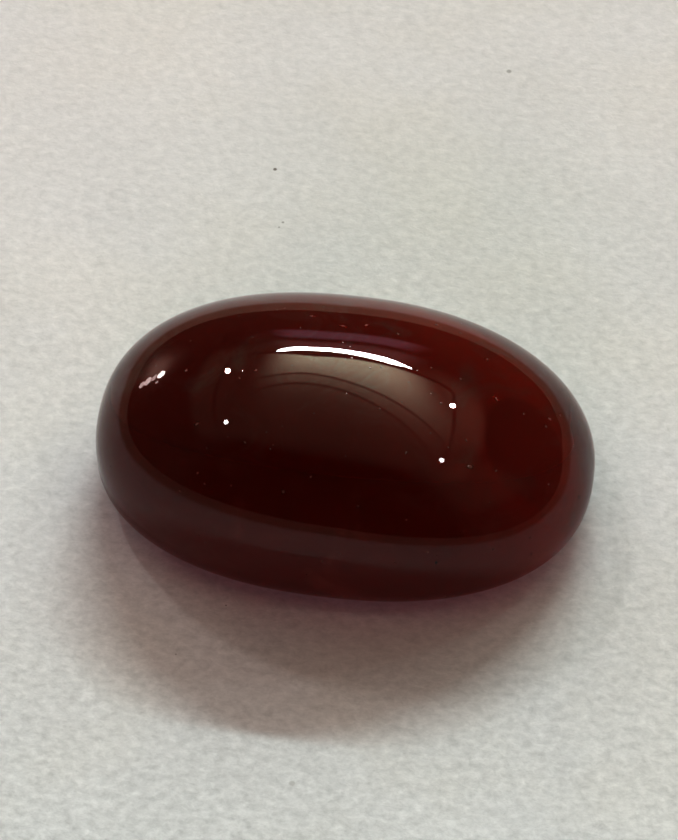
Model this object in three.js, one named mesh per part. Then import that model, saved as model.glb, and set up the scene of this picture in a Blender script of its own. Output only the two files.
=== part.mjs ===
// An oval cabochon of red agate, cut and polished from one piece of stone: a flat
// ground base, a rounded lower edge, a low upright wall and a high polished dome.
// Millimetres, +Z up, +X along the stone's length, the origin at the middle of the base.

import * as THREE from 'three';

// The stone's size. The dome starts on top of the wall, where the oval is widest.
const LENGTH = 20.0;
const WIDTH = 14.0;
const WALL_HEIGHT = 1.9;
const DOME_HEIGHT = 6.3;

// The oval seen from above is a superellipse: 2 is a true ellipse, more is squarer.
// Its +X end is a little fuller than its -X end.
const OVAL_POWER = 2.27;
const END_FULLNESS = 0.02;

// The dome follows r^SHOULDER_POWER + h^CROWN_POWER = 1, from the wall (r = 1) to the top (h = 1).
const SHOULDER_POWER = 2.0;
const CROWN_POWER = 1.9;

// The flat base is this share of the widest oval. The edge between the two is rounded:
// the higher the power, the lower on the wall the rounding starts.
const BASE_RATIO = 0.74;
const EDGE_POWER = 3.0;

// The dome was ground by hand, so its top stands a little off the middle of the oval. Its
// levels lean that way by this power of their height, which keeps it smooth above the wall.
const TOP_OFFSET_X = -1.25;
const TOP_OFFSET_Y = -1.0;
const LEAN_POWER = 1.3;

// How finely the shape is divided. The rings of the rounded edge crowd towards the base.
const AROUND = 88;
const WALL_RINGS = 9;
const DOME_RINGS = 24;
const EDGE_CROWDING = 1.4;

const STONE_COLOR = 0x4a0f0b;
const STONE_ROUGHNESS = 0.05;

const HALF_LENGTH = LENGTH / 2;
const HALF_WIDTH = WIDTH / 2;
const QUARTER_TURN = Math.PI / 2;

// A power of a number that keeps its sign, as a superellipse needs.
function signedPower(value, power) {
  return Math.sign(value) * Math.abs(value) ** power;
}

// The half section, from the middle of the base out to the wall and up to the top.
// x is the distance from the axis, as a share of the oval's size, and y is the height.
function halfSection() {
  const points = [new THREE.Vector2(0, 0)];
  for (let i = 0; i < WALL_RINGS; i += 1) {
    const rise = (i / WALL_RINGS) ** EDGE_CROWDING;
    const inset = (1 - BASE_RATIO) * (1 - rise) ** EDGE_POWER;
    points.push(new THREE.Vector2(1 - inset, WALL_HEIGHT * rise));
  }
  for (let i = 0; i < DOME_RINGS; i += 1) {
    const angle = (QUARTER_TURN * i) / DOME_RINGS;
    const radius = Math.cos(angle) ** (2 / SHOULDER_POWER);
    const rise = Math.sin(angle) ** (2 / CROWN_POWER);
    points.push(new THREE.Vector2(radius, WALL_HEIGHT + DOME_HEIGHT * rise));
  }
  points.push(new THREE.Vector2(0, WALL_HEIGHT + DOME_HEIGHT));
  return points;
}

// Turns the half section into a round solid of radius 1, then gives each of its levels
// the oval outline and leans the dome's levels towards the off-centre top.
function cabochonGeometry() {
  const geometry = new THREE.LatheGeometry(halfSection(), AROUND);
  geometry.rotateX(QUARTER_TURN);
  const position = geometry.attributes.position;
  for (let i = 0; i < position.count; i += 1) {
    const x = position.getX(i);
    const y = position.getY(i);
    const z = position.getZ(i);
    const radius = Math.hypot(x, y);
    const cosine = Math.cos(Math.atan2(y, x));
    const sine = Math.sin(Math.atan2(y, x));
    const outlineX = HALF_LENGTH * signedPower(cosine, 2 / OVAL_POWER);
    const outlineY = HALF_WIDTH * signedPower(sine, 2 / OVAL_POWER) * (1 + END_FULLNESS * cosine);
    const lean = Math.max(0, (z - WALL_HEIGHT) / DOME_HEIGHT) ** LEAN_POWER;
    position.setX(i, radius * outlineX + TOP_OFFSET_X * lean);
    position.setY(i, radius * outlineY + TOP_OFFSET_Y * lean);
  }
  geometry.computeVertexNormals();
  return geometry;
}

// Polished stone with a glassy surface.
function agateMaterial() {
  return new THREE.MeshStandardMaterial({
    name: 'polished_agate',
    color: STONE_COLOR,
    roughness: STONE_ROUGHNESS,
    metalness: 0,
  });
}

function cabochon() {
  const mesh = new THREE.Mesh(cabochonGeometry(), agateMaterial());
  mesh.name = 'cabochon';
  return mesh;
}

const gemstone = new THREE.Group();
gemstone.name = 'agate_gemstone';
gemstone.add(cabochon());

export default gemstone;
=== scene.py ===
"""An oval agate cabochon on a pale floor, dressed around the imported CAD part.

Lengths are in metres, in the part's own frame: +X along the stone, +Z up, z = 0 under the stone.
"""

import math

import bmesh
import bpy
import numpy as np
from mathutils import Matrix, Vector
from mathutils.bvhtree import BVHTree


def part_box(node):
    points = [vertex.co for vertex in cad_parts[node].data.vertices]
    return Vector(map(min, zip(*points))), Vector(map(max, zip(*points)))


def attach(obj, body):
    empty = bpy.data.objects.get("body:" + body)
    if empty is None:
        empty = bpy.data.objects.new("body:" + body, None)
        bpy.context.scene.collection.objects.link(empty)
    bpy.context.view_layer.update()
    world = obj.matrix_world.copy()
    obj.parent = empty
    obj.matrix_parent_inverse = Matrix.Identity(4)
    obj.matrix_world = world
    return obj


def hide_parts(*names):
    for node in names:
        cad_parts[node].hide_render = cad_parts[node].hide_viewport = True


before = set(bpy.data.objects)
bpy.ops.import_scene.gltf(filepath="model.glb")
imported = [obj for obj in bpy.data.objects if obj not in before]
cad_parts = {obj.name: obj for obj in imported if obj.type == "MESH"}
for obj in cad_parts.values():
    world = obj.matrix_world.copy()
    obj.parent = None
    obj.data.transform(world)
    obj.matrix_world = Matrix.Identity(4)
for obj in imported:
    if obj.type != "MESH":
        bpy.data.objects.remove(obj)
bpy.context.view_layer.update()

MM = 0.001
SEED = 38

# The photograph's frame, the pixel that the stone's aiming point falls on, and the scale there.
FRAME_WIDTH = 678
FRAME_HEIGHT = 840
AIM_PIXEL_X = 345.4
AIM_PIXEL_Y = 441.8
PIXELS_PER_METRE = 25020.0

# The camera looks at the aiming point from this direction and distance.
AIM_POINT = Vector((0.0, 0.0, 2.5 * MM))
CAMERA_AZIMUTH = math.radians(8.2)
CAMERA_ELEVATION = math.radians(48.9)
CAMERA_DISTANCE = 180 * MM
CLIP_START = 1 * MM

# The sensor's width, in millimetres, as the camera's settings have it.
SENSOR = 36.0


def camera_axes():
    """The camera's right, up and back directions."""
    right = Vector((math.cos(CAMERA_AZIMUTH), math.sin(CAMERA_AZIMUTH), 0))
    ahead = Vector((-math.sin(CAMERA_AZIMUTH), math.cos(CAMERA_AZIMUTH), 0))
    back = -ahead * math.cos(CAMERA_ELEVATION) + Vector((0, 0, math.sin(CAMERA_ELEVATION)))
    return right, back.cross(right), back


def add_camera():
    """A camera that looks past the picture's middle, so that the aiming point is on its pixel."""
    right, up, back = camera_axes()
    across = (FRAME_WIDTH / 2 - AIM_PIXEL_X) / PIXELS_PER_METRE
    above = (AIM_PIXEL_Y - FRAME_HEIGHT / 2) / PIXELS_PER_METRE
    centre = AIM_POINT + right * across + up * above
    data = bpy.data.cameras.new("camera")
    data.sensor_width = SENSOR
    data.lens = SENSOR * CAMERA_DISTANCE * PIXELS_PER_METRE / FRAME_HEIGHT
    data.clip_start = CLIP_START
    camera = bpy.data.objects.new("camera", data)
    bpy.context.scene.collection.objects.link(camera)
    turn = Matrix((right, up, back)).transposed()
    camera.matrix_world = Matrix.Translation(centre + back * CAMERA_DISTANCE) @ turn.to_4x4()
    bpy.context.scene.camera = camera


# The numbers of a colour Mix node's sockets, which share their names with others.
MIX_FACTOR = 0
MIX_FIRST = 6
MIX_SECOND = 7
MIX_RESULT = 2

# The middle of a pattern that runs from 0 to 1.
PATTERN_MIDDLE = 0.5


class Graph:
    """Short calls for the nodes of one node tree."""

    def __init__(self, tree):
        self.nodes = tree.nodes
        self.links = tree.links

    def feed(self, socket, value):
        """Sets a socket to a number or colour, or links it to another node's output."""
        if isinstance(value, bpy.types.NodeSocket):
            self.links.new(value, socket)
        else:
            socket.default_value = value

    def add(self, kind, inputs, **settings):
        """A new node's outputs. Its inputs are given by name or by number."""
        node = self.nodes.new(kind)
        for setting, value in settings.items():
            setattr(node, setting, value)
        for socket, value in inputs.items():
            self.feed(node.inputs[socket], value)
        return node.outputs

    def split(self, vector):
        parts = self.add("ShaderNodeSeparateXYZ", {"Vector": vector})
        return parts["X"], parts["Y"], parts["Z"]

    def math(self, operation, *values, clamp=False):
        inputs = dict(enumerate(values))
        return self.add("ShaderNodeMath", inputs, operation=operation, use_clamp=clamp)[0]

    def product(self, first, *others):
        for other in others:
            first = self.math("MULTIPLY", first, other)
        return first

    def ramp(self, value, start, end, low=0.0, high=1.0, shape="SMOOTHSTEP"):
        """Runs from low to high while the value runs from start to end, and no further."""
        inputs = {"Value": value, "From Min": start, "From Max": end, "To Min": low, "To Max": high}
        return self.add("ShaderNodeMapRange", inputs, interpolation_type=shape)["Result"]

    def span(self, value, start, end, soft):
        """1 between two values, falling to 0 over a soft edge at each."""
        rise = self.ramp(value, start - soft, start + soft)
        return self.product(rise, self.ramp(value, end - soft, end + soft, 1.0, 0.0))

    def distance(self, x, y, centre, radii):
        """Distance from the centre of an ellipse, as a share of its radius."""
        across = self.math("DIVIDE", self.math("SUBTRACT", x, centre[0]), radii[0])
        along = self.math("DIVIDE", self.math("SUBTRACT", y, centre[1]), radii[1])
        squares = self.math("ADD", self.product(across, across), self.product(along, along))
        return self.math("SQRT", squares)

    def noise(self, vector, scale, detail=2.0, roughness=0.5, distortion=0.0):
        inputs = {"Vector": vector, "Scale": scale, "Detail": detail, "Roughness": roughness,
                  "Distortion": distortion}
        return self.add("ShaderNodeTexNoise", inputs)["Fac"]

    def varied(self, value, pattern, strength, clamp=False):
        """The value, raised and lowered by a pattern that runs from 0 to 1."""
        swing = self.math("SUBTRACT", pattern, PATTERN_MIDDLE)
        return self.math("MULTIPLY_ADD", swing, strength, value, clamp=clamp)

    def stretched(self, vector, scale, turn=0.0):
        """A vector scaled and turned about Z, for a pattern that runs along one direction."""
        inputs = {"Vector": vector, "Scale": scale, "Rotation": (0.0, 0.0, turn)}
        return self.add("ShaderNodeMapping", inputs)["Vector"]

    def mix(self, factor, first, second, blend="MIX"):
        inputs = {MIX_FACTOR: factor, MIX_FIRST: first, MIX_SECOND: second}
        return self.add("ShaderNodeMix", inputs, data_type="RGBA", blend_type=blend)[MIX_RESULT]

    def scaled(self, color, factor):
        return self.add("ShaderNodeVectorMath", {0: color, "Scale": factor}, operation="SCALE")[0]

    def total(self, first, *others):
        for other in others:
            first = self.add("ShaderNodeVectorMath", {0: first, 1: other}, operation="ADD")[0]
        return first


def new_material(name):
    """A new material, its graph, its main shader's inputs and the place on the object."""
    material = bpy.data.materials.new(name)
    material.use_nodes = True
    graph = Graph(material.node_tree)
    place = graph.add("ShaderNodeTexCoord", {})["Object"]
    return material, graph, material.node_tree.nodes["Principled BSDF"].inputs, place


def add_mesh(name, points, faces, material):
    mesh = bpy.data.meshes.new(name)
    mesh.from_pydata([tuple(p) for p in points], [], faces)
    mesh.validate()
    mesh.shade_smooth()
    mesh.materials.append(material)
    piece = bpy.data.objects.new(name, mesh)
    bpy.context.scene.collection.objects.link(piece)
    return piece


# The stone's form, as the CAD part has it. Its length, width and height come from the frame.
OVAL_POWER = 2.27
END_FULLNESS = 0.02
WALL_HEIGHT = 1.9 * MM
SHOULDER_POWER = 2.0
CROWN_POWER = 1.9
BASE_RATIO = 0.74
EDGE_POWER = 3.0
TOP_OFFSET = Vector((-1.25 * MM, -1.0 * MM))
LEAN_POWER = 1.3

AROUND = 288
WALL_RINGS = 30
DOME_RINGS = 120
EDGE_CROWDING = 1.4


def signed_power(value, power):
    return np.sign(value) * np.abs(value) ** power


def stone_levels(height):
    """Each ring's radius, as a share of the oval, its height and its lean, from the base up."""
    wall_rise = (np.arange(WALL_RINGS) / WALL_RINGS) ** EDGE_CROWDING
    wall_radius = 1 - (1 - BASE_RATIO) * (1 - wall_rise) ** EDGE_POWER
    angle = np.arange(DOME_RINGS) / DOME_RINGS * math.pi / 2
    dome_rise = np.sin(angle) ** (2 / CROWN_POWER)
    dome_radius = np.cos(angle) ** (2 / SHOULDER_POWER)
    dome_level = WALL_HEIGHT + (height - WALL_HEIGHT) * dome_rise
    radius = np.concatenate([wall_radius, dome_radius])
    level = np.concatenate([WALL_HEIGHT * wall_rise, dome_level])
    lean = np.concatenate([np.zeros(WALL_RINGS), dome_rise ** LEAN_POWER])
    return radius, level, lean


def fitted(points, low, high):
    """The points stretched by a hair, so that they fill the CAD node's box exactly."""
    lowest = points.min(0)
    span = points.max(0) - lowest
    return np.array(low) + (points - lowest) / span * (np.array(high) - np.array(low))


def stone_points(low, high):
    """The rings' points, then the middle of the base and the top."""
    height = high.z
    radius, level, lean = stone_levels(height)
    angle = np.arange(AROUND) / AROUND * 2 * math.pi
    outline_x = signed_power(np.cos(angle), 2 / OVAL_POWER)
    outline_y = signed_power(np.sin(angle), 2 / OVAL_POWER) * (1 + END_FULLNESS * np.cos(angle))
    x = radius[:, None] * outline_x * (high.x - low.x) / 2 + lean[:, None] * TOP_OFFSET.x
    y = radius[:, None] * outline_y * (high.y - low.y) / 2 + lean[:, None] * TOP_OFFSET.y
    z = np.repeat(level[:, None], AROUND, 1)
    rings = np.stack([x, y, z], -1).reshape(-1, 3)
    points = np.vstack([rings, [(0, 0, 0), (TOP_OFFSET.x, TOP_OFFSET.y, height)]])
    return fitted(points, low, high)


def stone_faces():
    """Four-sided faces between the rings, then the fans of the base and the top."""
    base_middle = (WALL_RINGS + DOME_RINGS) * AROUND
    top = base_middle + 1
    last_ring = base_middle - AROUND
    faces = []
    for lower in range(0, last_ring, AROUND):
        upper = lower + AROUND
        for i in range(AROUND):
            j = (i + 1) % AROUND
            faces.append((lower + i, lower + j, upper + j, upper + i))
    for i in range(AROUND):
        j = (i + 1) % AROUND
        faces.append((j, i, base_middle))
        faces.append((last_ring + i, last_ring + j, top))
    return faces


# The agate's body colour, with a painted glow of the lamps' light passing through the stone:
# it brightens along +X and +Y, faster towards the end.
BODY_DARK = (0.44, 0.030, 0.015, 1)
PAINTED_GLOW_RED = (0.89, 0.080, 0.032, 1)
BRIGHT_START = -5.0 * MM
BRIGHT_END = 8.0 * MM
BRIGHT_SLANT = 0.6
BRIGHT_POWER = 1.45

# Painted shade and reflection: it is darker and less red towards its front side, which faces away
# from the lamps and mirrors the shaded floor, and towards the rim of its other sides.
PAINTED_EDGE_SHADE = (0.235, 0.066, 0.058, 1)
FRONT_START = -3.2 * MM
FRONT_END = -6.8 * MM
RIM_CENTRE = (0.0, -2.0 * MM)
RIM_RADII = (10.2 * MM, 7.2 * MM)
RIM_START = 0.84
RIM_END = 1.0
RIM_STRENGTH = 0.75

# Uneven brightness and milky clouds. Each noise has its scale, detail, roughness and distortion,
# the last ones only where they matter.
MOTTLE_NOISE = (260.0, 4.0)
MOTTLE_STRENGTH = 0.55
CLOUD_NOISE = (420.0, 5.0, 0.6, 0.8)
CLOUD_COLOR = (0.50, 0.24, 0.21, 1)
CLOUD_START = 0.48
CLOUD_END = 0.78
CLOUD_STRENGTH = 0.80

# The darker oval patch near the stone's +X end.
BLACK = (0.0, 0.0, 0.0, 1)
OVAL_CENTRE = (7.3 * MM, -1.75 * MM)
OVAL_RADII = (1.6 * MM, 2.15 * MM)
OVAL_START = 1.04
OVAL_END = 0.90
OVAL_DARKNESS = 0.25

# How far red, green and blue light scatter in the stone, and how it refracts and absorbs light.
SCATTER_RADIUS = (4.0 * MM, 0.5 * MM, 0.25 * MM)
CLEAR_SHARE = 0.85
AGATE_IOR = 1.54
ABSORPTION_COLOR = (0.57, 0.10, 0.05, 1)
ABSORPTION_DENSITY = 315.0

# The dome is polished. The base is ground, up to just above the height where it rests.
POLISH_ROUGHNESS = 0.0
GROUND_ROUGHNESS = 0.55
GROUND_TOP = 0.05 * MM
POLISH_BOTTOM = 0.25 * MM


def body_color_with_painted_light(graph, place):
    x, y, z = graph.split(place)
    # Painted glow: brighter towards +X and +Y, where the lamps' light passes through the stone.
    slanted = graph.math("MULTIPLY_ADD", y, BRIGHT_SLANT, x)
    bright = graph.ramp(slanted, BRIGHT_START, BRIGHT_END, shape="LINEAR")
    bright = graph.math("POWER", bright, BRIGHT_POWER)
    mottle = graph.noise(place, *MOTTLE_NOISE)
    bright = graph.varied(bright, mottle, MOTTLE_STRENGTH, clamp=True)
    color = graph.mix(bright, BODY_DARK, PAINTED_GLOW_RED)
    # Painted shade and reflection: darker and less red towards the front and the rim.
    from_middle = graph.distance(x, y, RIM_CENTRE, RIM_RADII)
    rim = graph.ramp(from_middle, RIM_START, RIM_END, 0.0, RIM_STRENGTH)
    edge = graph.math("MAXIMUM", graph.ramp(y, FRONT_START, FRONT_END), rim)
    color = graph.mix(edge, color, PAINTED_EDGE_SHADE)
    from_oval = graph.distance(x, y, OVAL_CENTRE, OVAL_RADII)
    oval = graph.ramp(from_oval, OVAL_START, OVAL_END, 0.0, OVAL_DARKNESS)
    color = graph.mix(oval, color, BLACK)
    clouds = graph.noise(place, *CLOUD_NOISE)
    milk = graph.ramp(clouds, CLOUD_START, CLOUD_END, 0.0, CLOUD_STRENGTH)
    return graph.mix(milk, color, CLOUD_COLOR)


def agate_material():
    material, graph, inputs, place = new_material("polished_agate")
    inputs["IOR"].default_value = AGATE_IOR
    inputs["Transmission Weight"].default_value = CLEAR_SHARE
    inputs["Subsurface Weight"].default_value = 1.0
    inputs["Subsurface Radius"].default_value = SCATTER_RADIUS
    inputs["Subsurface Scale"].default_value = 1.0
    graph.feed(inputs["Base Color"], body_color_with_painted_light(graph, place))
    height = graph.split(place)[2]
    levels = (GROUND_TOP, POLISH_BOTTOM, GROUND_ROUGHNESS, POLISH_ROUGHNESS)
    graph.feed(inputs["Roughness"], graph.ramp(height, *levels, "LINEAR"))
    absorption = {"Color": ABSORPTION_COLOR, "Density": ABSORPTION_DENSITY}
    volume = graph.add("ShaderNodeVolumeAbsorption", absorption)["Volume"]
    graph.feed(material.node_tree.nodes["Material Output"].inputs["Volume"], volume)
    return material


def add_stone(points, faces):
    stone = add_mesh("polished_cabochon", points, faces, agate_material())
    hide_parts("cabochon")
    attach(stone, "root")


# Pale grains cut open by the polish. The ones that catch the eye have their place seen from
# above and their radius, in mm.
LARGE_GRAINS = (
    (-1.6, 1.9, 0.09),
    (-0.3, 1.4, 0.12),
    (0.6, 1.7, 0.09),
    (3.2, 3.0, 0.08),
    (5.1, 3.6, 0.09),
    (5.4, 1.7, 0.08),
    (6.0, -0.3, 0.10),
    (8.1, 0.2, 0.09),
    (8.0, -0.3, 0.08),
    (8.4, -2.6, 0.08),
    (5.4, -3.7, 0.09),
    (-3.8, -1.6, 0.07),
    (-3.3, -1.6, 0.07),
    (-6.1, -1.3, 0.10),
    (-5.3, -3.7, 0.08),
    (-1.6, -5.8, 0.10),
)

# The others are spread at random, with a radius in this range.
GRAIN_COUNT = 130
GRAIN_RADIUS = (0.02 * MM, 0.05 * MM)

# The few dark ones, most of them near the rim.
DARK_GRAINS = (
    (4.47, -6.38, 0.05),
    (8.01, -4.66, 0.05),
    (9.57, -1.83, 0.05),
    (9.18, 1.47, 0.07),
    (8.35, 2.65, 0.04),
    (0.07, -0.58, 0.03),
)

# A grain's depth, the most that it is longer than wide, and how lumpy it is, as shares of its
# radius. It rises from the polish by this much. None is lower on the wall than this height.
GRAIN_FLATNESS = 0.12
GRAIN_STRETCH = 0.8
GRAIN_LUMPINESS = 0.22
GRAIN_RISE = 0.002 * MM
LOWEST_GRAIN = 0.4 * MM
BLOB_SUBDIVISIONS = 2

# Rays that find a place on the stone start this far out. The random ones aim at this point.
RAY_REACH = 30 * MM
RAY_TARGET = Vector((0, 0, 3 * MM))
DOWN = Vector((0, 0, -1))


def blob():
    """The points and faces of a small sphere."""
    sphere = bmesh.new()
    bmesh.ops.create_icosphere(sphere, subdivisions=BLOB_SUBDIVISIONS, radius=1.0)
    points = np.array([vertex.co[:] for vertex in sphere.verts])
    faces = [tuple(vertex.index for vertex in face.verts) for face in sphere.faces]
    sphere.free()
    return points, faces


def surface_points(surface, count, random):
    """Points spread over the stone, each with the surface's normal."""
    found = []
    while len(found) < count:
        away = Vector(random.normal(size=3)).normalized()
        point, normal, face, distance = surface.ray_cast(RAY_TARGET + away * RAY_REACH, -away)
        if point is not None and point.z > LOWEST_GRAIN:
            found.append((point, normal))
    return found


def placed_grains(surface, grains):
    """Point, normal and radius of grains that are given by their place seen from above, in mm."""
    places = []
    for x, y, radius in grains:
        above = Vector((x * MM, y * MM, RAY_REACH))
        point, normal, face, distance = surface.ray_cast(above, DOWN)
        places.append((point, normal, radius * MM))
    return places


def grain_points(shape, point, normal, radius, random):
    """One grain: a small rough blob, flattened along the surface and rising from it by a hair."""
    across = normal.orthogonal().normalized()
    across.rotate(Matrix.Rotation(random.uniform(0, math.pi), 3, normal))
    along = normal.cross(across)
    half_depth = radius * GRAIN_FLATNESS
    sizes = (radius * (1 + random.uniform(0, GRAIN_STRETCH)), radius, half_depth)
    lumps = random.uniform(-GRAIN_LUMPINESS, GRAIN_LUMPINESS, (len(shape), 1))
    axes = np.array([across, along, normal]) * np.array(sizes)[:, None]
    middle = np.array(point) - np.array(normal) * (half_depth - GRAIN_RISE)
    return shape * (1 + lumps) @ axes + middle


def joined_grains(places, random):
    """All the grains of a list of (point, normal, radius), as one mesh."""
    shape, shape_faces = blob()
    points = []
    faces = []
    for count, (point, normal, radius) in enumerate(places):
        points.append(grain_points(shape, point, normal, radius, random))
        first = count * len(shape)
        faces += [tuple(first + corner for corner in face) for face in shape_faces]
    return np.vstack(points), faces


# The grains' colours and roughness, as ranges that a fine noise runs through.
PALE_GRAIN = ((0.12, 0.035, 0.030, 1), (0.42, 0.19, 0.17, 1))
DARK_GRAIN = ((0.010, 0.004, 0.004, 1), (0.035, 0.012, 0.010, 1))
GRAIN_NOISE = (9000.0, 2.0)
GRAIN_NOISE_RANGE = (0.2, 0.8)
GRAIN_ROUGHNESS = (0.02, 0.10)


def grain_material(name, colors):
    material, graph, inputs, place = new_material(name)
    patches = graph.noise(place, *GRAIN_NOISE)
    graph.feed(inputs["Base Color"], graph.mix(patches, *colors))
    graph.feed(inputs["Roughness"], graph.ramp(patches, *GRAIN_NOISE_RANGE, *GRAIN_ROUGHNESS))
    return material


def add_grains(name, places, random, colors):
    points, faces = joined_grains(places, random)
    grains = add_mesh(name, points, faces, grain_material(name, colors))
    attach(grains, "root")


def add_all_grains(points, faces):
    random = np.random.default_rng(SEED)
    surface = BVHTree.FromPolygons([tuple(p) for p in points], faces)
    places = placed_grains(surface, LARGE_GRAINS)
    for point, normal in surface_points(surface, GRAIN_COUNT, random):
        places.append((point, normal, random.uniform(*GRAIN_RADIUS)))
    add_grains("pale_grains", places, random, PALE_GRAIN)
    add_grains("dark_grains", placed_grains(surface, DARK_GRAINS), random, DARK_GRAIN)


# The floor lies just under the stone.
FLOOR_SIZE = 1.6
FLOOR_GAP = 0.02 * MM
FLOOR_ROUGHNESS = 0.9

# Painted shade: its colour fades a little from far to near, darker towards the camera.
FLOOR_FAR = (0.687, 0.645, 0.633, 1)
FLOOR_NEAR = (0.650, 0.648, 0.641, 1)
FLOOR_FADE = 22 * MM

# Away from the stone it darkens and grows warmer, between these distances.
FLOOR_AWAY = (0.36, 0.27, 0.20, 1)
AWAY_START = 31 * MM
AWAY_END = 46 * MM

# Two layers of fibres, each stretched and turned about Z, vary its light and raise its surface.
FIBRE_NOISE = (2700.0, 4.0, 0.68, 0.3)
FIBRE_STRETCH = (0.75, 1.0, 1.0)
FIBRE_TURNS = (math.radians(-14), math.radians(6))
FIBRE_STRENGTH_NEAR = 1.00
FIBRE_STRENGTH_FAR = 0.48
FLOOR_RELIEF = 0.020 * MM

# Patches of it are a little lighter or darker, and broader ones a little warmer or cooler.
PATCH_NOISE = (160.0, 3.0)
PATCH_STRENGTH = 0.11
TINT_NOISE = (90.0, 3.0)
TINT_COOL = (0.996, 1.0, 1.008, 1)
TINT_WARM = (1.004, 1.0, 0.990, 1)
TINT_START = 0.40
TINT_END = 0.62

# Tiny specks of dirt on it: their place and radius in mm, and how dark they are.
FLECKS = (
    (-5.49, 17.04, 0.11, 0.75),
    (-4.68, 13.98, 0.08, 0.45),
    (-4.80, 13.67, 0.06, 0.40),
    (3.75, 24.42, 0.15, 0.40),
    (0.12, -15.20, 0.16, 0.25),
    (-3.76, -6.96, 0.05, 0.60),
    (-5.31, -9.66, 0.05, 0.45),
)
FLECK_COLOR = (0.13, 0.10, 0.08, 1)

# This share of a speck's radius is as dark as its middle.
FLECK_CORE = 0.4


def floor_fibres(graph, place):
    """Crossing short fibres, from 0 to 1."""
    places = [graph.stretched(place, FIBRE_STRETCH, turn) for turn in FIBRE_TURNS]
    layers = [graph.noise(layer_place, *FIBRE_NOISE) for layer_place in places]
    return graph.product(graph.math("ADD", *layers), 1 / len(layers))


def floor_flecks(graph, place):
    """How much of the specks' colour shows: 0 away from them."""
    x, y, z = graph.split(place)
    share = 0.0
    for centre_x, centre_y, radius, darkness in FLECKS:
        centre = (centre_x * MM, centre_y * MM)
        from_centre = graph.distance(x, y, centre, (radius * MM, radius * MM))
        share = graph.math("ADD", graph.ramp(from_centre, 1.0, FLECK_CORE, 0.0, darkness), share)
    return share


def floor_color(graph, place, fibres):
    # Painted shade: the floor is darker nearer the camera.
    far = graph.ramp(graph.split(place)[1], -FLOOR_FADE, FLOOR_FADE, shape="LINEAR")
    color = graph.mix(far, FLOOR_NEAR, FLOOR_FAR)
    away = graph.add("ShaderNodeVectorMath", {0: place}, operation="LENGTH")["Value"]
    color = graph.mix(graph.ramp(away, AWAY_START, AWAY_END), color, FLOOR_AWAY)
    strength = graph.ramp(far, 0.0, 1.0, FIBRE_STRENGTH_NEAR, FIBRE_STRENGTH_FAR, "LINEAR")
    light = graph.varied(1.0, fibres, strength)
    light = graph.varied(light, graph.noise(place, *PATCH_NOISE), PATCH_STRENGTH)
    color = graph.scaled(color, light)
    warmth = graph.ramp(graph.noise(place, *TINT_NOISE), TINT_START, TINT_END)
    color = graph.mix(1.0, color, graph.mix(warmth, TINT_COOL, TINT_WARM), "MULTIPLY")
    return graph.mix(floor_flecks(graph, place), color, FLECK_COLOR)


def floor_material():
    material, graph, inputs, place = new_material("matt_floor")
    fibres = floor_fibres(graph, place)
    graph.feed(inputs["Base Color"], floor_color(graph, place, fibres))
    inputs["Roughness"].default_value = FLOOR_ROUGHNESS
    relief = {"Height": fibres, "Distance": FLOOR_RELIEF, "Strength": 1.0}
    graph.feed(inputs["Normal"], graph.add("ShaderNodeBump", relief)["Normal"])
    return material


def add_floor():
    half = FLOOR_SIZE / 2
    near_corners = [(-half, -half, -FLOOR_GAP), (half, -half, -FLOOR_GAP)]
    far_corners = [(half, half, -FLOOR_GAP), (-half, half, -FLOOR_GAP)]
    floor = add_mesh("floor", near_corners + far_corners, [(0, 1, 2, 3)], floor_material())
    return floor


# The lamps hang at this height over the floor. Places overhead are given as shares of it.
LAMP_HEIGHT = 1.5
WHITE = (1.0, 1.0, 1.0)

# The tube lamp. Its long shape in the polish is drawn in the glow, further down.
TUBE_PLACE = (0.04, 1.185, 1.0)
TUBE_SIZE = (1.17, 0.06)
TUBE_POWER = 36.0
TUBE_COLOR = (0.79, 0.98, 1.0)

# Small oval downlights: place, two half angles seen from the stone and roll in degrees, power
# and colour.
SPOTS = (
    ("spot_back_left", (-0.68, 0.78, 1.0), (2.05, 0.85), 56.8, 4.7, WHITE),
    ("spot_front_left", (-0.61, -0.21, 1.0), (2.05, 1.05), 156.7, 0.5, WHITE),
    ("spot_back_right", (0.72, 0.83, 1.0), (1.50, 0.85), 132.1, 1.8, TUBE_COLOR),
    ("spot_front_right", (0.72, -0.17, 1.0), (2.00, 1.00), 13.3, 0.5, WHITE),
)

# Small bright things low on the left, for the polish to show: azimuth, elevation and two angles
# across in degrees, radiance and colour.
GLINT_DISTANCE = 3.0
GLINTS = (
    ("glint_white", -52.1, 16.4, (4.0, 3.9), 16.0, (1.0, 0.93, 0.90)),
    ("glint_pink_low", -56.3, 6.4, (3.6, 3.6), 5.5, (1.0, 0.80, 0.78)),
    ("glint_pink_middle", -55.2, 9.9, (4.6, 4.2), 6.5, (1.0, 0.82, 0.80)),
    ("glint_pink_high", -53.6, 13.2, (3.4, 2.6), 5.0, (1.0, 0.80, 0.78)),
    ("glint_small", -56.6, 16.9, (1.8, 1.8), 6.0, (1.0, 0.80, 0.78)),
)

# Broad soft lamps, which the polish doesn't show: azimuth, elevation, size, power, colour, and
# whether the lamp lights the floor alone.
BROAD_DISTANCE = 2.5
BROAD_LAMPS = (
    ("broad_back_left", -45, 32, (2.4, 0.9), 14.0, (0.97, 1.0, 1.0), False),
    ("broad_back_right", 22, 32, (2.0, 0.9), 13.0, (0.80, 1.0, 0.97), False),
    ("broad_front", 190, 14, (2.6, 0.9), 30.0, (1.0, 0.70, 0.87), True),
)


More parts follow.
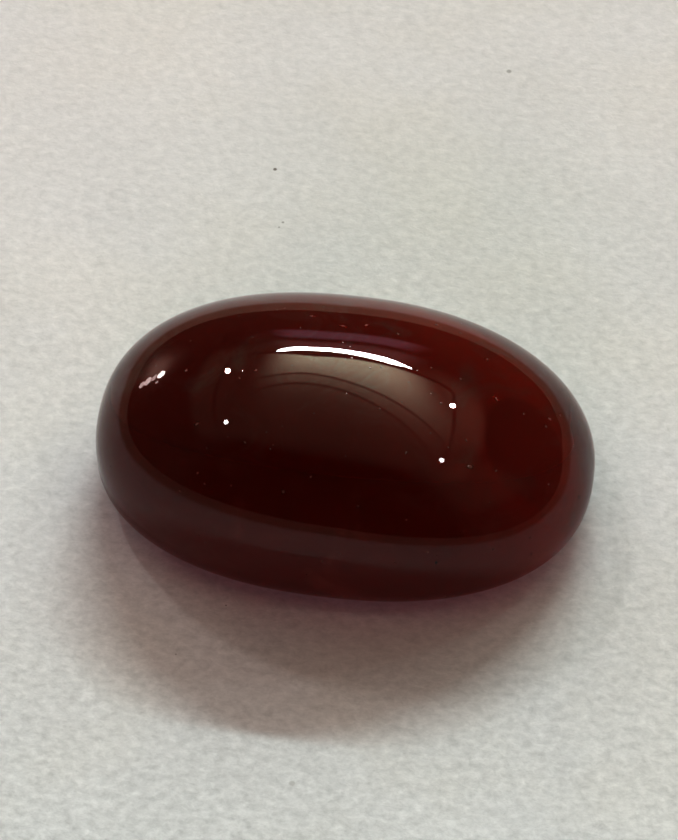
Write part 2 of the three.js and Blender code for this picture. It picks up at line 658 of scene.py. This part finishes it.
def add_area(name, position, turn, size, power, color=WHITE, shape="RECTANGLE"):
    """An area lamp, with its size in metres. It shines against the third axis of its turn."""
    data = bpy.data.lights.new(name, "AREA")
    data.shape = shape
    data.size, data.size_y = size
    data.energy = power
    data.color = color
    lamp = bpy.data.objects.new(name, data)
    bpy.context.scene.collection.objects.link(lamp)
    lamp.matrix_world = Matrix.Translation(position) @ turn.to_4x4()
    return lamp


def add_aimed(name, position, size, power, color, shape="RECTANGLE", roll=0.0):
    """An area lamp that shines at the stone. The roll turns it about its own direction."""
    back = position.normalized()
    across = Vector((0, 0, 1)).cross(back).normalized()
    up = back.cross(across)
    turn = Matrix((across, up, back)).transposed() @ Matrix.Rotation(roll, 3, "Z")
    return add_area(name, position, turn, size, power, color, shape)


def direction(azimuth, elevation):
    """A direction from the stone, given in degrees. The azimuth runs clockwise from +Y."""
    turned = math.radians(azimuth)
    raised = math.radians(elevation)
    level = math.cos(raised)
    return Vector((math.sin(turned) * level, math.cos(turned) * level, math.sin(raised)))


def add_spot(name, place, half_angles, roll, power, color):
    position = Vector(place) * LAMP_HEIGHT
    size = [2 * position.length * math.tan(math.radians(angle)) for angle in half_angles]
    add_aimed(name, position, size, power, color, "ELLIPSE", math.radians(roll))


def add_glint(name, azimuth, elevation, angles, radiance, color):
    size = [2 * GLINT_DISTANCE * math.tan(math.radians(angle) / 2) for angle in angles]
    area = math.pi / 4 * size[0] * size[1]
    position = direction(azimuth, elevation) * GLINT_DISTANCE
    add_aimed(name, position, size, radiance * math.pi * area, color, "ELLIPSE")


def add_lamps():
    tube_position = Vector(TUBE_PLACE) * LAMP_HEIGHT
    tube = add_aimed("tube", tube_position, TUBE_SIZE, TUBE_POWER, TUBE_COLOR)
    tube.visible_glossy = False
    for spot in SPOTS:
        add_spot(*spot)
    for glint in GLINTS:
        add_glint(*glint)


def add_broad_lamps(floor):
    """One of them lights the floor alone, to lighten the shadow and not the stone."""
    floor_only = bpy.data.collections.new("floor_only")
    floor_only.objects.link(floor)
    for name, azimuth, elevation, size, power, color, on_floor_alone in BROAD_LAMPS:
        position = direction(azimuth, elevation) * BROAD_DISTANCE
        lamp = add_aimed(name, position, size, power, color)
        lamp.visible_glossy = False
        if on_floor_alone:
            lamp.light_linking.receiver_collection = floor_only


# The glow of the lamps overhead, which only the polish shows, on a panel with these sides: left,
# right, near and far. It comes up over the next two stretches of x, at its left and its right,
# where its edge is skewed, and over a stretch of y at its far side.
GLOW_SIDES = (-0.60, 0.90, -0.60, 1.45)
GLOW_LEFT = (-0.48, -0.14)
GLOW_RIGHT = (0.72, 0.27)
GLOW_SKEW = 0.3
GLOW_SKEW_MIDDLE = 0.75
GLOW_FAR = (1.07, 1.01)
GLOW_COLOR = (5.5, 5.6, 4.4)

# From here it fades towards the camera: by e over this length, and the faster the further.
GLOW_FADE_START = 1.0
GLOW_FADE = 0.44
GLOW_FADE_POWER = 1.3

# Two arched lines cross the glow. Each has its crown and its bend, and the glow nearer than it
# is darker by a step.
ARC_MIDDLE = -0.05
ARCS = ((0.62, 0.9), (0.44, 1.3))
ARC_WIDTH = 0.040
ARC_DARKNESS = 0.70
ARC_STEP = 0.20


def arc_shade(graph, x, y, crown, bend):
    """The share of the glow that is left near one arched line and in front of it."""
    off_middle = graph.math("SUBTRACT", x, ARC_MIDDLE)
    level = graph.math("MULTIPLY_ADD", graph.product(off_middle, off_middle), bend, y)
    off_line = graph.math("ABSOLUTE", graph.math("SUBTRACT", level, crown))
    line = graph.ramp(off_line, 0.0, ARC_WIDTH, 1 - ARC_DARKNESS, 1.0)
    step = graph.ramp(level, crown - ARC_WIDTH, crown + ARC_WIDTH, 1 - ARC_STEP, 1.0)
    return graph.product(line, step)


def glow_strength(graph, x, y):
    off_skew_middle = graph.math("SUBTRACT", y, GLOW_SKEW_MIDDLE)
    skewed = graph.math("MULTIPLY_ADD", off_skew_middle, GLOW_SKEW, x)
    left = graph.ramp(x, *GLOW_LEFT)
    right = graph.ramp(skewed, *GLOW_RIGHT)
    far = graph.ramp(y, *GLOW_FAR)
    depth = graph.math("MAXIMUM", graph.math("SUBTRACT", GLOW_FADE_START, y), 0.0)
    fading = graph.math("POWER", graph.math("DIVIDE", depth, GLOW_FADE), GLOW_FADE_POWER)
    fade = graph.math("EXPONENT", graph.product(fading, -1.0))
    arcs = [arc_shade(graph, x, y, *arc) for arc in ARCS]
    return graph.product(left, right, far, fade, *arcs)


# The tube lamp is in the glow too. It bends a little, through these points.
TUBE_POINTS = (
    (-0.37, 1.130),
    (-0.29, 1.225),
    (-0.21, 1.285),
    (-0.12, 1.305),
    (0.02, 1.265),
    (0.20, 1.205),
    (0.42, 1.140),
)

# It is wide, as its glare spreads. It widens from its left end and narrows to its right end: each
# taper has its stretch of x, then the widths there, the second as shares of the first.
TUBE_LEFT_TAPER = (-0.37, -0.30, 0.045, 0.080)
TUBE_RIGHT_TAPER = (0.26, 0.43, 1.0, 0.22)
TUBE_GLARE = 60.0

# Its sides are soft between these shares of its half width, and its ends over this length.
TUBE_SIDE = (1.15, 0.85)
TUBE_END_SOFTNESS = 0.006

# A curve node holds values from 0 to 1, so the curve of its middle line is counted from this y.
TUBE_CURVE_BASE = 1.0


def tube_middle(graph, x):
    """The y of the tube's middle line."""
    start = TUBE_POINTS[0][0]
    end = TUBE_POINTS[-1][0]
    node = graph.nodes.new("ShaderNodeFloatCurve")
    graph.feed(node.inputs["Value"], graph.ramp(x, start, end, shape="LINEAR"))
    curve = node.mapping.curves[0]
    points = []
    for point_x, point_y in TUBE_POINTS:
        points.append(((point_x - start) / (end - start), point_y - TUBE_CURVE_BASE))
    curve.points[0].location = points[0]
    curve.points[1].location = points[-1]
    for point in points[1:-1]:
        curve.points.new(*point)
    node.mapping.update()
    return graph.math("ADD", node.outputs["Value"], TUBE_CURVE_BASE)


def tube_share(graph, x, y):
    """1 on the tube and 0 beside it."""
    off_middle = graph.math("ABSOLUTE", graph.math("SUBTRACT", y, tube_middle(graph, x)))
    left_taper = graph.ramp(x, *TUBE_LEFT_TAPER)
    half_width = graph.product(left_taper, graph.ramp(x, *TUBE_RIGHT_TAPER))
    across = graph.ramp(graph.math("DIVIDE", off_middle, half_width), *TUBE_SIDE)
    start = TUBE_POINTS[0][0]
    end = TUBE_POINTS[-1][0]
    return graph.product(across, graph.span(x, start, end, TUBE_END_SOFTNESS))


def add_glow():
    left, right, near, far = [side * LAMP_HEIGHT for side in GLOW_SIDES]
    size = (right - left, far - near)
    middle = Vector(((left + right) / 2, (near + far) / 2, LAMP_HEIGHT))
    power_for_radiance_1 = math.pi * size[0] * size[1]
    glow = add_area("glow", middle, Matrix.Identity(3), size, power_for_radiance_1)
    glow.visible_diffuse = False
    glow.visible_transmission = False
    glow.data.use_nodes = True
    graph = Graph(glow.data.node_tree)
    x, y, z = graph.split(graph.add("ShaderNodeNewGeometry", {})["Position"])
    x = graph.math("DIVIDE", x, LAMP_HEIGHT)
    y = graph.math("DIVIDE", y, LAMP_HEIGHT)
    emission = glow.data.node_tree.nodes["Emission"].inputs
    soft_light = graph.scaled(GLOW_COLOR, glow_strength(graph, x, y))
    tube_light = graph.scaled(TUBE_COLOR, graph.product(tube_share(graph, x, y), TUBE_GLARE))
    graph.feed(emission["Color"], graph.total(soft_light, tube_light))


# The dim surroundings, as radiance. Each patch overhead has its left and right side and their
# softness, its near and far side and their softness, as shares of the lamps' height, and the
# light that it adds.
AMBIENT = (0.13, 0.09, 0.06)
OVERHEAD = (
    ("all of it", (-1.05, 1.05, 0.10), (-0.50, 1.35, 0.20), (0.22, 0.19, 0.13)),
    ("right end", (0.62, 1.06, 0.08), (0.20, 1.15, 0.25), (0.30, 0.24, 0.18)),
    ("right side", (0.50, 0.95, 0.20), (0.45, 1.20, 0.20), (0.20, 0.17, 0.14)),
    ("left end", (-1.05, -0.76, 0.12), (0.35, 1.20, 0.12), (0.12, 0.10, 0.07)),
)

# Patches further down have the same numbers for their azimuth and elevation, in degrees.
UPRIGHT = (
    ("far band", (-13.0, 12.0, 4.0), (21.0, 28.0, 1.5), (0.98, 0.66, 0.90)),
    ("over the tube", (-15.0, 17.0, 5.0), (31.0, 38.0, 2.0), (0.95, 0.62, 0.64)),
    ("left haze", (-56.0, -42.0, 6.0), (2.0, 20.0, 6.0), (0.45, 0.36, 0.30)),
    ("left gleam", (-54.0, -46.0, 4.0), (7.0, 17.0, 4.0), (1.00, 0.80, 0.70)),
    ("right side", (85.0, 132.0, 8.0), (20.0, 48.0, 5.0), (0.18, 0.15, 0.10)),
)

# Thin dark lines frame the part overhead that holds the lamps.
SEAM_SOFTNESS = 0.012
SEAMS = (
    ((-0.735, -0.705, SEAM_SOFTNESS), (-0.30, 1.07, SEAM_SOFTNESS)),
    ((0.72, 0.75, SEAM_SOFTNESS), (-0.30, 1.07, SEAM_SOFTNESS)),
    ((-0.72, 0.73, SEAM_SOFTNESS), (1.05, 1.09, SEAM_SOFTNESS)),
)
SEAM_DARKNESS = 0.75

# The surroundings are darkest behind the camera. This patch has an azimuth, counted from the
# front, and an elevation, in degrees.
DIM_SIDES = (-46.0, 40.0, 9.0)
DIM_RISE = (-100.0, 57.0, 4.0)
DIM_DARKNESS = 0.78

# Directions lower than this count as this low, so that places overhead stay finite.
LOWEST_HEIGHT = 0.02


def patch(graph, x, y, sides, ends):
    """1 inside a rectangle, falling to 0 over its soft sides and ends."""
    return graph.product(graph.span(x, *sides), graph.span(y, *ends))


def radians(angles):
    return [math.radians(angle) for angle in angles]


def overhead_light(graph, x, y):
    patches = []
    for name, sides, ends, color in OVERHEAD:
        patches.append(graph.scaled(color, patch(graph, x, y, sides, ends)))
    seams = [patch(graph, x, y, sides, ends) for sides, ends in SEAMS]
    shades = [graph.math("MULTIPLY_ADD", seam, -SEAM_DARKNESS, 1.0) for seam in seams]
    return graph.scaled(graph.total(*patches), graph.product(*shades))


def upright_light(graph, azimuth, elevation):
    patches = []
    for name, sides, ends, color in UPRIGHT:
        share = patch(graph, azimuth, elevation, radians(sides), radians(ends))
        patches.append(graph.scaled(color, share))
    return graph.total(*patches)


def set_surroundings():
    world = bpy.data.worlds.new("surroundings")
    bpy.context.scene.world = world
    world.use_nodes = True
    graph = Graph(world.node_tree)
    x, y, z = graph.split(graph.add("ShaderNodeTexCoord", {})["Generated"])
    height = graph.math("MAXIMUM", z, LOWEST_HEIGHT)
    overhead_x = graph.math("DIVIDE", x, height)
    overhead_y = graph.math("DIVIDE", y, height)
    overhead = overhead_light(graph, overhead_x, overhead_y)
    elevation = graph.math("ARCSINE", z)
    upright = upright_light(graph, graph.math("ARCTAN2", x, y), elevation)
    from_front = graph.math("ARCTAN2", x, graph.product(y, -1.0))
    dim = patch(graph, from_front, elevation, radians(DIM_SIDES), radians(DIM_RISE))
    ambient = graph.scaled(AMBIENT, graph.math("MULTIPLY_ADD", dim, -DIM_DARKNESS, 1.0))
    background = world.node_tree.nodes["Background"].inputs
    graph.feed(background["Color"], graph.total(ambient, overhead, upright))


# The picture's tones are harder than the scene's light, as a small camera makes them.
TONE_GAMMA = 0.667
TONE_EXPOSURE = 0.11


def set_tones():
    view = bpy.context.scene.view_settings
    view.view_transform = "Standard"
    view.gamma = TONE_GAMMA
    view.exposure = TONE_EXPOSURE


set_tones()
add_camera()
stone_low, stone_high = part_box("cabochon")
points = stone_points(stone_low, stone_high)
faces = stone_faces()
add_stone(points, faces)
add_all_grains(points, faces)
floor = add_floor()
add_lamps()
add_broad_lamps(floor)
add_glow()
set_surroundings()
